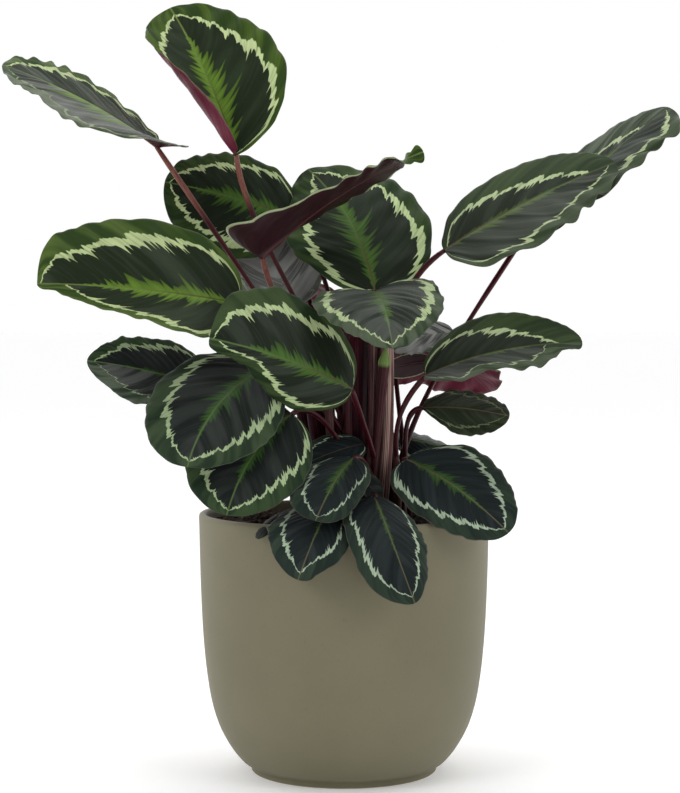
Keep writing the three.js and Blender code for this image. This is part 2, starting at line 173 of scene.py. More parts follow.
# One entry for each leaf. Left and right are its halves as seen from its upper face with the tip
# ahead, and a pair gives the left one first.
# start, end: ends of the midrib; faces: where the upper face looks; width: greatest half widths;
# arch, sway: how far the midrib bows up and to the right.
# left, right: fold and curl downwards in degrees, at the base and, where two more follow, at the
# tip; settle: how soon; twist: by how many degrees the end turns over, and from where.
# wave: height of the edge's waves, of each edge where two are given, and their count.
# lobe, scallop, pleat: in place of those in bladeShape; edges: factors on the half widths at even
# steps from base to tip.
# root: where the stem stands; rise: how far it keeps straight; via: what it bends towards.
# look: one of leafLooks; feather, ring: factors on the width of those marks; paintedSheen: how much
# painted grey sheen, streaked along the veins, lies over the blade; rim: factor on the margin outside
# the ring; under: one of underPaints; light: how pale the upper end of the stem is.
leaves = {
    "01": dict(
        start=(-142, 10, 474), end=(-255, -15, 532), faces=(0.42, -0.36, 0.84),
        width=(35, 41), arch=5.5, left=(-72, 8, -2, 8), right=(-7, 4), settle=8, wave=(1, 1.4, 8),
        lobe=(0.3, 0.05), pleat=0.5,
        edges=((1.6, 1.3, 1.5, 1.65, 1.6, 1.45, 1.2, 1.15, 1.35, 1.4, 1.2),
               (0.9, 0.75, 0.8, 0.9, 1, 1.05, 1.05, 1.1, 1.15, 1.25, 1.3)),
        root=(21, 4), rise=50, via=(-78, 7, 378), look="high", feather=(1.6, 0), ring=(0.3, 1.1),
        paintedSheen=(0.5, 0.18), light=1),
    "02": dict(
        start=(-82, 14, 468), end=(-135, 50, 584), faces=(-0.1, -0.9, 0.3),
        width=(51, 56), arch=6, sway=4, left=(-45, -112, -10, -28), right=(2, 12), settle=1.3,
        wave=(0.6, 1.4, 7), scallop=(0.02, 0.035),
        edges=((0.9, 0.95, 1, 1, 1, 1, 1, 0.98, 0.95, 0.9, 0.8),
               (0.55, 0.9, 1.03, 1.08, 1.08, 1.05, 0.98, 0.93, 0.92, 0.85, 0.8)),
        root=(25, -3), rise=90, via=(-77, 22, 400), look="high", under="bright", light=1),
    "03": dict(
        start=(-40, 42, 422), end=(-138, 30, 448), faces=(0.1, -0.85, 0.5),
        width=(50, 39), arch=4, left=(4, 15), right=(-4, 10), wave=(0.8, 1.3, 7),
        edges=((1, 1, 1, 1, 1, 1, 1.01, 1.02, 1.03, 1.02, 1),
               (1.15, 1.15, 1.1, 1.05, 1.05, 1.03, 1, 1, 1.05, 1.1, 1)),
        root=(17, 11), rise=60, via=(-10, 25, 394), look="middle"),
    "04": dict(
        start=(-77, -35, 354), end=(-221, -75, 368), faces=(0, -0.79, 0.62),
        width=(50, 54), arch=5, left=(-14, 0, -14, -34), right=(-24, -10), wave=(0.5, 1.4, 6),
        scallop=(0.045, 0.03),
        edges=((1, 1.18, 1.36, 1.22, 1.1, 1.05, 1, 0.92, 0.7, 0.48, 0.55),
               (0.9, 0.95, 0.97, 0.97, 0.97, 0.98, 1, 1.04, 1.12, 1.36, 1.6)),
        root=(9, -3), rise=60, look="high", feather=0.8, paintedSheen=0.05),
    "05": dict(
        start=(-61, -30, 388), end=(58, -45, 465), faces=(-0.52, 0.05, 0.85),
        width=(38, 40), arch=7, left=(-20, -6, 10, -6), right=(-62, -45, 0, -14), settle=5,
        twist=(-100, 0.86), wave=(0.8, 1.4, 7), lobe=(0.1, 0.1),
        edges=((1, 1, 1, 1, 1, 1, 1, 1, 0.9, 0.25, 0.8),
               (2.2, 1, 0.74, 0.68, 0.7, 0.75, 0.82, 0.92, 1.05, 0.3, 0.8)),
        root=(17, -3), rise=80, via=(-48, -28, 330), look="high", under="rimmed", light=0.8),
    "06": dict(
        start=(23, -14, 364), end=(-28, 60, 460), faces=(0.1, -0.82, 0.5),
        width=(57, 57), arch=4, sway=8, left=(2, 14), right=(2, 14), wave=(0.8, 1.2, 7),
        edges=((0.7, 0.75, 0.8, 0.88, 0.9, 0.9, 0.85, 0.76, 0.72, 0.8, 0.9),
               (0.95, 1.02, 1.07, 1.11, 1.12, 1.11, 1.11, 1.09, 1.05, 1, 0.9)),
        root=(33, -3), rise=70, via=(28, -8, 330), look="middle", paintedSheen=(0.02, 0)),
    "07": dict(
        start=(6, -74, 292), end=(-95, -108, 329), faces=(0.1, -0.75, 0.65),
        width=(36, 55), arch=6, left=(36, 30, 55, 80), right=(-20, 4), settle=1.6, wave=(0.8, 0.8, 6),
        edges=((1, 1, 1.03, 1, 0.9, 0.75, 0.6, 0.6, 0.7, 0.8, 0.8),
               (0.8, 0.85, 0.86, 0.84, 0.9, 1, 1, 1.03, 1.15, 1.3, 1.3)),
        root=(29, -10), rise=40, via=(15, -50, 262), look="middle", feather=0.85, paintedSheen=0.05),
    "08": dict(
        start=(-107, -30, 293), end=(-189, -45, 312), faces=(0, -0.78, 0.62),
        width=(26, 31), arch=4, left=(30, 20), right=(0, 10), wave=(1, 1, 5), pleat=0.3,
        edges=((0.85, 0.88, 0.9, 0.95, 1, 0.97, 0.9, 0.84, 0.79, 0.75, 0.7),
               (1.5, 1.35, 1.17, 1.1, 1.05, 1, 1.06, 1, 0.92, 0.85, 0.8)),
        root=(5, 4), rise=40, look="deep", feather=0.35, ring=(0.3, 1.2), paintedSheen=(0.25, 0)),
    "09": dict(
        start=(-57, -50, 308), end=(-110, -118, 239), faces=(-0.3, -0.85, 0.42),
        width=(46, 50), arch=6, sway=8, left=(10, 18), right=(-8, 4), wave=(0.7, 1, 6), pleat=0.3,
        root=(21, -10), rise=50, look="deep", paintedSheen=0.07),
    "10": dict(
        start=(-38, -70, 274), end=(-83, -108, 204), faces=(-0.2, -0.88, 0.4),
        width=(42, 46), arch=4, sway=6, left=(0, 14), right=(-6, 4), wave=(0.6, 0.7, 5), pleat=0.3,
        edges=((1, 1, 1, 1, 1, 0.98, 0.98, 1, 1, 1, 1),
               (1, 1, 1.05, 1.06, 1.06, 1.05, 1.04, 1.04, 1.04, 1, 1)),
        root=(13, -10), rise=40, look="deep", paintedSheen=0.03),
    "11": dict(
        start=(7, -56, 241), end=(-20, -126, 202), faces=(0.2, -0.75, 0.6),
        width=(28, 34), arch=6.5, sway=2, left=(-4, 6), right=(12, 29), wave=(0.5, 0.6, 5),
        lobe=(0.1, 0.1), pleat=0.24,
        edges=((0.83, 0.82, 0.82, 0.8, 0.8, 0.82, 0.86, 0.9, 0.95, 1, 1),
               (0.85, 0.84, 0.84, 0.84, 0.85, 0.88, 0.94, 1, 1, 1, 1)),
        root=(28, -17), rise=20, look="low", ring=0.7),
    "12": dict(
        start=(-6, -66, 207), end=(-32, -130, 161), faces=(-0.1, -0.75, 0.66),
        width=(30, 40), arch=18, sway=-3, left=(0, 6), right=(4, 14), wave=(0.5, 0.5, 5), pleat=0.24,
        edges=((0.7, 0.65, 0.65, 0.7, 0.78, 0.88, 0.95, 0.96, 0.85, 0.78, 1),
               (0.9, 0.88, 0.88, 0.9, 0.95, 1, 1, 1, 1, 1, 1)),
        root=(20, -17), rise=10, look="low", feather=0.35, ring=0.85, paintedSheen=0.03),
    "13": dict(
        start=(22, -72, 214), end=(49, -132, 145), faces=(0, -0.78, 0.62),
        width=(30, 29), arch=26, sway=5, left=(14, 30), right=(-4, 8), wave=(0.5, 0.6, 5), pleat=0.24,
        edges=((0.8, 0.85, 0.88, 0.9, 0.95, 1, 1.05, 1.05, 1.1, 1.1, 1),
               (1, 1, 1, 1, 1.02, 1.06, 1.15, 1.2, 1.22, 1.2, 1)),
        root=(36, -17), rise=12, look="low", feather=0.4, ring=0.85, paintedSheen=0.02),
    "14": dict(
        start=(46, -40, 239), end=(118, -85, 189), faces=(0.2, -0.8, 0.56),
        width=(40, 40), arch=8, left=(-2, 14), right=(-4, 2), wave=(0.7, 0.9, 6), pleat=0.3,
        edges=((1, 1.08, 1.1, 1.05, 1, 0.97, 0.95, 0.95, 0.95, 0.95, 1), (1, 1)),
        root=(44, -17), rise=20, via=(42, -25, 240), look="low", feather=0.85),
    "15": dict(
        start=(38, 30, 250), end=(104, 62, 228), faces=(0.2, -0.4, 0.9),
        width=(30, 30), arch=6, left=(6, 18), right=(6, 18), wave=(0.8, 0.8, 5), root=(37, 18), rise=25,
        via=(33, 22, 248), look="low"),
    "16": dict(
        start=(59, -15, 276), end=(123, -30, 270), faces=(0, -0.7, 0.7),
        width=(24, 24), arch=4, left=(4, 14), right=(4, 14), wave=(0.9, 1.1, 6),
        edges=((1, 1, 1, 0.97, 0.93, 0.92, 0.92, 0.94, 0.97, 1, 1),
               (0.25, 0.5, 0.72, 0.9, 1, 1, 1, 1, 1, 1, 1)),
        root=(49, -3), rise=30, via=(38, -12, 276), look="old", feather=1, ring=1, paintedSheen=0.04),
    "17": dict(
        start=(60, -35, 301), end=(174, -55, 325), faces=(-0.12, -0.56, 0.82),
        width=(40, 38), arch=8, left=(-12, 6), right=(-18, 4, -6, -4), wave=(0.3, 1.4, 6),
        scallop=(0, 0.08),
        edges=((1, 1, 1.02, 1.03, 1, 0.96, 0.9, 0.86, 0.84, 0.8, 0.8),
               (0.8, 0.8, 1.15, 0.65, 0.85, 0.96, 1.04, 0.9, 0.4, 0.6, 0.9)),
        root=(45, -10), rise=40, via=(24, -28, 262), look="turned", feather=(0.1, 0.5), ring=(1, 0.35),
        paintedSheen=(0.02, 0.12), rim=(1.6, 1.1)),
    "18": dict(
        start=(76, 0, 395), end=(206, 10, 461), faces=(-0.35, -0.6, 0.7),
        width=(45, 46), arch=5, left=(-10, 14), right=(4, 12, 4, -12), wave=(0.3, 2.4, 6),
        scallop=(0.01, 0.1),
        edges=((0.55, 0.95, 1, 1, 1, 1, 1, 1, 1, 1, 1),
               (0.95, 1.08, 1.1, 1.06, 1.05, 1.03, 0.96, 0.95, 0.97, 1, 1)),
        root=(41, -3), rise=25, via=(8, 0, 350), look="turned", feather=(0.3, 0.8), ring=(1, 0.5),
        paintedSheen=(0.02, 0.14), rim=(1.9, 1)),
    "19": dict(
        start=(137, 30, 405), end=(255, 60, 508), faces=(-0.5, -0.45, 0.74),
        width=(44, 44), arch=4, left=(-6, 4), right=(0, 4), wave=(0.4, 2, 6), scallop=(0.02, 0.08),
        edges=((1, 1, 1, 0.9, 0.78, 0.74, 0.75, 0.78, 0.78, 0.75, 0.8),
               (0.8, 0.8, 0.82, 0.86, 0.88, 0.92, 0.98, 1.1, 1.35, 1.4, 1.3)),
        root=(37, 4), rise=70, via=(94, 16, 338), look="turned", feather=0.5, paintedSheen=(0.3, 0.15),
        rim=(1.5, 1)),
    "20": dict(
        start=(-42, 20, 352), end=(-70, 70, 438), faces=(0, -0.85, 0.5),
        width=(38, 38), arch=2, left=(4, 8), right=(4, 8), wave=(2.4, 6), pleat=0.4, root=(9, 11),
        rise=50, via=(-34, 20, 318), look="middle", feather=0.25, ring=0.35, paintedSheen=3),
    "21": dict(
        start=(23, -32, 363), end=(34, -112, 322), faces=(0.06, -0.4, 0.9),
        width=(45, 49), arch=9, left=(-24, 8, -6, 8), right=(-4, 4), wave=(0.8, 1, 6), lobe=(0.35, 0.12),
        scallop=(0.03, 0.03), pleat=0.5,
        edges=((1.25, 1.15, 1.02, 0.98, 0.96, 0.93, 0.87, 0.8, 0.74, 0.72, 0.9),
               (1, 1, 1, 1.05, 1.08, 1.05, 1, 0.93, 0.86, 0.85, 0.95)),
        root=(37, -10), rise=80, via=(30, -22, 325), look="middle", feather=0.8, paintedSheen=0.2, rim=0.8),
    "22": dict(
        start=(48, 40, 332), end=(118, 92, 284), faces=(0.2, 0.55, 0.8),
        width=(39, 39), arch=6, left=(6, 18), right=(6, 18), wave=(2, 6), root=(49, 11), rise=60,
        look="high", under="bright"),
    "23": dict(
        start=(-30, 44, 373), end=(-52, 104, 346), faces=(-0.1, 0.6, 0.8),
        width=(35, 35), arch=6, left=(6, 16), right=(6, 16), wave=(2, 6),
        edges=((1, 1), (1.3, 1.25, 1.1, 1, 1, 1)),
        root=(29, 18), rise=70, via=(-27, 30, 334), look="high", under="bright"),
    "24": dict(
        start=(4, 36, 344), end=(-6, 98, 272), faces=(0, 0.75, 0.66),
        width=(34, 38), arch=8, left=(6, 18), right=(6, 18), wave=(1.8, 6), root=(33, 11), rise=60,
        via=(8, 20, 326), look="middle", under="bright"),
    "25": dict(
        start=(-2, 48, 262), end=(-72, 112, 214), faces=(-0.3, 0.4, 0.86),
        width=(40, 40), arch=8, left=(6, 18), right=(6, 18), wave=(1.6, 6), root=(13, 18), rise=30,
        look="deep"),
    "26": dict(
        start=(28, 56, 236), end=(24, 128, 184), faces=(0, 0.6, 0.8),
        width=(35, 35), arch=16, left=(4, 18), right=(4, 18), wave=(1.6, 5), root=(21, 18), rise=20,
        look="low"),
    "27": dict(
        start=(64, 46, 226), end=(112, 100, 194), faces=(0.2, 0.5, 0.84),
        width=(31, 31), arch=8, left=(4, 18), right=(4, 18), wave=(1.6, 5), root=(45, 18), rise=16,
        look="low"),
    "28": dict(
        start=(-40, 50, 290), end=(-108, 104, 278), faces=(-0.3, 0.4, 0.86),
        width=(36, 36), arch=9, left=(6, 16), right=(6, 16), wave=(1.8, 6), root=(5, 18), rise=40,
        look="middle"),
}

# Marks and colours of the upper face in lit and shaded copies: painted light and shade by how high a leaf
# stands, lighter high up and darker lower down, and for those turned away from the light; old is an older
# leaf's own colouring
leafLooks = {
    "high": dict(centre=(36, 46, 30), margin=(76, 98, 38), edge=(46, 66, 30), ring=(190, 206, 150),
                 feather=(110, 144, 54), midrib=(108, 126, 66), midribBase=(84, 66, 46), line=(96, 104, 78),
                 featherWidth=0.38, ringWidth=1.35, clumps=6.3, swing=0.1),
    "middle": dict(centre=(27, 36, 24), margin=(54, 72, 36), edge=(34, 50, 29), ring=(180, 198, 146),
                   feather=(72, 104, 44), midrib=(84, 104, 58), midribBase=(84, 66, 50), line=(84, 94, 74),
                   featherWidth=0.35, ringWidth=1.3, clumps=6.6, swing=0.11),
    "deep": dict(centre=(27, 33, 30), margin=(52, 72, 42), edge=(34, 49, 35), ring=(166, 186, 142),
                 feather=(58, 92, 42), midrib=(88, 110, 64), midribBase=(88, 76, 56), line=(88, 90, 80),
                 featherWidth=0.28, ringWidth=1.15, clumps=7.2, swing=0.12),
    "low": dict(centre=(27, 34, 35), margin=(44, 58, 45), edge=(32, 43, 38), ring=(166, 184, 158),
                feather=(60, 90, 46), midrib=(98, 92, 68), midribBase=(98, 74, 62), line=(98, 90, 84),
                featherWidth=0.28, ringWidth=1.05, clumps=7, swing=0.1),
    "turned": dict(centre=(32, 40, 28), margin=(54, 70, 38), edge=(38, 52, 30), ring=(176, 192, 146),
                   feather=(84, 104, 50), midrib=(62, 76, 44), midribBase=(74, 62, 46), line=(84, 94, 74),
                   featherWidth=0.34, ringWidth=1.3, clumps=6.6, swing=0.11),
    "old": dict(centre=(45, 53, 38), margin=(50, 60, 36), edge=(34, 42, 27), ring=(112, 122, 90),
                feather=(56, 68, 38), midrib=(118, 98, 84), midribBase=(118, 88, 80), line=(96, 92, 74),
                featherWidth=0.24, ringWidth=0.7, clumps=6, swing=0.09),
}


def unit(v):
    return v / np.linalg.norm(v, axis=-1, keepdims=True)


def smooth(value, low, high):
    u = np.clip((value - low) / (high - low), 0, 1)
    return u * u * (3 - 2 * u)


def bladeOutline(along):
    # half width of a plain blade as a share of the greatest
    base, tip = bladeShape["baseRound"], bladeShape["tipRound"]
    widestAt = base / (base + tip)
    u = np.clip(along, 0, 1)
    return (u / widestAt) ** base * ((1 - u) / (1 - widestAt)) ** tip


def spread(values, q):
    # a smooth line through values that stand at even steps of q from 0 to 1
    place = np.clip(q, 0, 1) * (len(values) - 1)
    low = np.minimum(place.astype(int), len(values) - 2)
    share = place - low
    share = share * share * (3 - 2 * share) * 0.5 + share * 0.5
    values = np.asarray(values, float)
    return values[low] * (1 - share) + values[low + 1] * share


def bladeSurface(leaf):
    # two functions: a point of the blade for along q and across t, and a point of its midrib
    shape = bladeShape
    start, end = np.array(leaf["start"], float), np.array(leaf["end"], float)
    length = np.linalg.norm(end - start)
    along = (end - start) / length
    up = np.array(leaf["faces"], float)
    up = unit(up - along * (up @ along))
    right = np.cross(along, up)
    middle = (start + end) / 2 + 2 * leaf["arch"] * up + 2 * leaf.get("sway", 0) * right
    lobes = leaf.get("lobe", (shape["lobe"], shape["lobe"]))
    scallops = leaf.get("scallop", (shape["scallop"], shape["scallop"]))
    edges = leaf.get("edges", ((1, 1), (1, 1)))
    twist, twistFrom = leaf.get("twist", (0, 0))
    *waveHeight, waves = leaf["wave"]
    drift, drifts = shape["waveDrift"]
    slope, bend = veinSlope
    flat = 1e-4  # stands in for a curl of 0, which can't be divided by

    def midrib(s):
        u = np.clip(s, 0, 1)[..., None]
        place = start * (1 - u) ** 2 + middle * 2 * u * (1 - u) + end * u * u
        tangent = unit((middle - start) * (1 - u) + (end - middle) * u)
        place = place + tangent * (s[..., None] - u) * length
        side = unit(right - tangent * (tangent @ right)[..., None])
        normal = np.cross(side, tangent)
        if twist:
            angle = np.radians(twist) * smooth(u, twistFrom, 1)
            turned = side * np.cos(angle) + normal * np.sin(angle)
            side, normal = turned, normal * np.cos(angle) - side * np.sin(angle)
        return place, tangent, side, normal

    def at(q, t):
        q, t = np.broadcast_arrays(np.asarray(q, float), np.asarray(t, float))
        reach, isLeft = np.abs(t), t < 0
        edge = q + shape["veinLean"] * np.sin(np.pi * q)
        halfWidth = np.where(isLeft, *leaf["width"])
        factor = np.where(isLeft, spread(edges[0], q), spread(edges[1], q))
        wide = np.maximum(halfWidth * bladeOutline(edge) * factor, shape["end"])
        back = np.where(isLeft, *lobes) * reach * (wide / halfWidth)
        back = back * np.maximum(1 - q / shape["lobeEnd"], 0) ** 2
        place, _, side, normal = midrib(q + (edge - q) * reach ** 1.3 - back)

        # each half folds at the midrib and curls towards its edge
        settled = 1 - (1 - q) ** leaf.get("settle", shape["settle"])
        folds = []
        for half in ("left", "right"):
            fold, curl, foldTip, curlTip = (*leaf[half], *leaf[half])[:4]
            folds.append((fold + (foldTip - fold) * settled, curl + (curlTip - curl) * settled))
        a = np.radians(np.where(isLeft, folds[0][0], folds[1][0]))
        c = np.radians(np.where(isLeft, folds[0][1], folds[1][1]))
        c = c * np.clip(wide / shape["curlWidth"], 0, 1)
        c = np.where(np.abs(c) < flat, flat, c)
        turn = a + c * reach

        # the edge waves up and down, swings in and out, and each side vein lies in a pleat
        shift = np.where(isLeft, shape["waveShift"], 0.0)
        swell = 2 * np.pi * waves * q + shift + drift * np.sin(2 * np.pi * drifts * q + shift * 2)
        scallop = np.where(isLeft, *scallops) * (np.abs(np.cos(swell / 2)) - shape["scallopMean"])
        span = wide * (1 + scallop * smooth(q, 0.05, 0.25) * reach ** 3)
        out = span / c * (np.sin(turn) - np.sin(a))
        lift = span / c * (np.cos(turn) - np.cos(a))
        wave = np.where(isLeft, waveHeight[0], waveHeight[-1]) * reach ** 1.5 * np.sin(swell)
        vein = q - reach * (slope + bend * reach)
        pleat = leaf.get("pleat", shape["pleatHeight"]) * np.sin(2 * np.pi * shape["pleats"] * vein)
        wave = wave + pleat * smooth(reach, 0.02, 0.4) * smooth(1 - q, 0, 0.15)
        wave = wave * np.clip(wide / shape["waveWidth"], 0, 1)
        lean = np.sign(t) * (out + wave * np.sin(turn))
        return place + side * lean[..., None] + normal * (lift + wave * np.cos(turn))[..., None], wide

    return at, midrib


def meshPiece(name, points, faces, materials, faceMaterial=None, marks=None):
    # a smooth piece on the plant's one body; marks are numbers or vectors for the shader
    mesh = bpy.data.meshes.new(name)
    mesh.from_pydata((np.asarray(points) * mm).tolist(), [], faces)
    for key, values in (marks or {}).items():
        values = np.asarray(values, np.float32)
        kind, field = ("FLOAT", "value") if values.ndim == 1 else ("FLOAT_VECTOR", "vector")
        mesh.attributes.new(key, kind, "POINT").data.foreach_set(field, values.ravel())
    for material in materials:
        mesh.materials.append(material)
    if faceMaterial is not None:
        mesh.polygons.foreach_set("material_index", faceMaterial)
    mesh.polygons.foreach_set("use_smooth", [True] * len(faces))
    mesh.update()
    piece = bpy.data.objects.new(name, mesh)
    bpy.context.scene.collection.objects.link(piece)
    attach(piece, "root")
    return piece


def gridFaces(rows, across, first=0, flip=False, closed=False):
    # quads between the rows of a grid of points; closed joins the end of each row to its start
    faces = []
    for i in range(rows - 1):
        for j in range(across if closed else across - 1):
            a, b = first + i * across + j, first + i * across + (j + 1) % across
            ring = (a, b, b + across, a + across)
            faces.append(ring[::-1] if flip else ring)
    return faces


def makeBlade(name, leaf, seed, upperPaint, underPaint):
    shape = bladeShape
    rows, half, even = shape["rows"], shape["halfColumns"], shape["even"]
    u = np.linspace(0, 1, rows)
    q = (even * u + (1 - even) * (1 - np.cos(np.pi * u)) / 2)[:, None]
    steps = np.linspace(0, 1, half + 1)
    steps = even * steps + (1 - even) * steps ** 1.6
    t = np.concatenate([-steps[:0:-1], steps])[None, :]
    at, _ = bladeSurface(leaf)
    place, wide = at(q, t)
    nudge = 1e-3
    beside = np.clip(q, 0.04, 0.97)  # the two narrow ends lean as the blade beside them does
    sideways = at(beside, np.minimum(t + nudge, 1))[0] - at(beside, np.maximum(t - nudge, -1))[0]
    onward = at(beside + nudge, t)[0] - at(beside - nudge, t)[0]
    normal = unit(np.cross(sideways, onward))

    # upper and lower face, with the midrib's line above and its ridge below
    reach = np.abs(t) + 0 * q
    across = reach * wide
    thick = shape["edgeThickness"] + (shape["thickness"] - shape["edgeThickness"]) * (1 - reach ** 4)
    groove = shape["groove"] * np.exp(-(across / shape["grooveWidth"]) ** 2) * smooth(1 - q, 0, 0.3)
    upper = place + normal * (thick / 2 - groove)[..., None]
    rib = shape["ribHeight"] + (shape["ribEnd"] - shape["ribHeight"]) * q ** 0.6 + 0 * t
    ridge = rib * np.exp(-(across / (0.75 * rib + 0.2)) ** 2)
    lower = place - normal * (thick / 2 + ridge)[..., None]
    columns = t.shape[1]
    count = rows * columns
    faces = gridFaces(rows, columns) + gridFaces(rows, columns, count, flip=True)
    edges = []
    for i in range(rows - 1):
        a, b = i * columns, (i + 1) * columns
        edges.append((a, b, count + b, count + a))
        a, b = a + columns - 1, b + columns - 1
        edges.append((b, a, count + a, count + b))
    for j in range(columns - 1):
        edges.append((j + 1, j, count + j, count + j + 1))
        k = (rows - 1) * columns + j
        edges.append((k, k + 1, count + k + 1, count + k))

    def halves(key, usual):
        # one value for both halves of the blade, or a pair for the left and the right one
        value = leaf.get(key, usual)
        left, right = value if isinstance(value, tuple) else (value, value)
        return np.where(t < 0, left, right) + 0 * q

    spot = np.stack([t + 0 * q, q + 0 * t, np.full_like(reach, seed)], -1).reshape(-1, 3)
    room = np.maximum(wide / np.where(t < 0, *leaf["width"]) / halves("rim", 1), 0.05).ravel()
    habit = np.stack([halves("feather", 1), halves("ring", 1), halves("paintedSheen", 0)], -1).reshape(-1, 3)
    marks = {"place": np.tile(spot, (2, 1)), "room": np.tile(room, 2), "habit": np.tile(habit, (2, 1))}
    cells = (rows - 1) * (columns - 1)
    return meshPiece(name, np.concatenate([upper.reshape(-1, 3), lower.reshape(-1, 3)]),
                     faces + edges, [upperPaint, underPaint],
                     [0] * cells + [1] * cells + [0] * len(edges), marks)


def stemLine(leaf):
    # straight down into its hole in the soil, and above it one bend to the blade
    shape = stemShape
    _, midrib = bladeSurface(leaf)
    place, tangent, _, normal = (v[0] for v in midrib(np.array([0.0])))
    foot = np.array([*leaf["root"], shape["crown"] - shape["depth"]], float)
    start = np.array([*leaf["root"], shape["crown"] + shape["above"]], float)
    via = np.array(leaf["via"], float) if "via" in leaf else place - tangent * shape["lead"]
    tip = place - unit(place - via) * shape["gap"] - normal * shape["below"]
    p0, p1, p2, p3 = start, start + np.array([0, 0, leaf["rise"]]), via, tip
    u = np.linspace(0, 1, shape["steps"])[:, None]
    curve = p0 * (1 - u) ** 3 + p1 * 3 * u * (1 - u) ** 2 + p2 * 3 * u * u * (1 - u) + p3 * u ** 3
    return np.concatenate([[foot], curve])


def tubeRings(line, radii, sides):
    # the rings of a tube that doesn't twist
    tangent = unit(np.gradient(line, axis=0))
    cross = np.array([1.0, 0, 0])
    rings = []
    angles = np.linspace(0, 2 * np.pi, sides, endpoint=False)[:, None]
    for place, direction, radius in zip(line, tangent, radii):
        cross = unit(cross - direction * (direction @ cross))
        other = np.cross(direction, cross)
        rings.append(place + radius * (np.cos(angles) * cross + np.sin(angles) * other))
    return np.array(rings)


def endCaps(sides, rings, first, flip=False):
    # fans over both ends of a tube, to the points first and first + 1
    faces, last = [], (rings - 1) * sides
    for j in range(sides):
        k = (j + 1) % sides
        j, k = (k, j) if flip else (j, k)
        faces += [(first, k, j), (first + 1, last + j, last + k)]
    return faces


def makeStem(name, leaf, seed, paint):
    shape = stemShape
    line, sides = stemLine(leaf), shape["sides"]
    u = np.linspace(0, 1, len(line))
    radii = shape["foot"] + (shape["middle"] - shape["foot"]) * smooth(u, 0.05, 0.5)
    radii = radii + (shape["joint"] - shape["middle"]) * smooth(u, 0.72, 0.84)
    radii = radii * (1 - shape["tipDrawnIn"] * smooth(u, 0.96, 1.0))
    points = np.concatenate([*tubeRings(line, radii, sides), [line[0]], [line[-1]]])
    faces = gridFaces(len(line), sides, closed=True) + endCaps(sides, len(line), len(points) - 2)
    around = np.tile(np.linspace(0, 1, sides, endpoint=False), len(line))
    spot = np.stack([np.repeat(u, sides), np.abs(around - 0.5) * 2, np.full(len(around), seed)], 1)
    spot = np.concatenate([spot, [[0, 0, seed], [1, 0, seed]]])
    habit = np.tile([leaf.get("light", 0), 0.0, 0.0], (len(spot), 1))
    return meshPiece(name, points, faces, [paint], marks={"place": spot, "habit": habit})


def leafPlace(paint):
    # where on the blade a point is; vein is the same number all along one side vein
    across, along, seed = paint.split(paint.mark("place"))
    reach = abs(across)
    slope, bend = veinSlope
    return across, along, reach, along - reach * (reach * bend + slope), seed


bladeFinish = {
    "roughness": 0.36,
    "gloss": 0.06,
    # sheen: the colour of the painted grey sheen
    "sheen": (140, 142, 138),
    "relief": 0.55,
    "reliefDepth": 0.0005,
    "marginFrom": 0.12,     # the margin outside the ring at the base, as a share of the half width
    "marginGrows": 0.17,
}


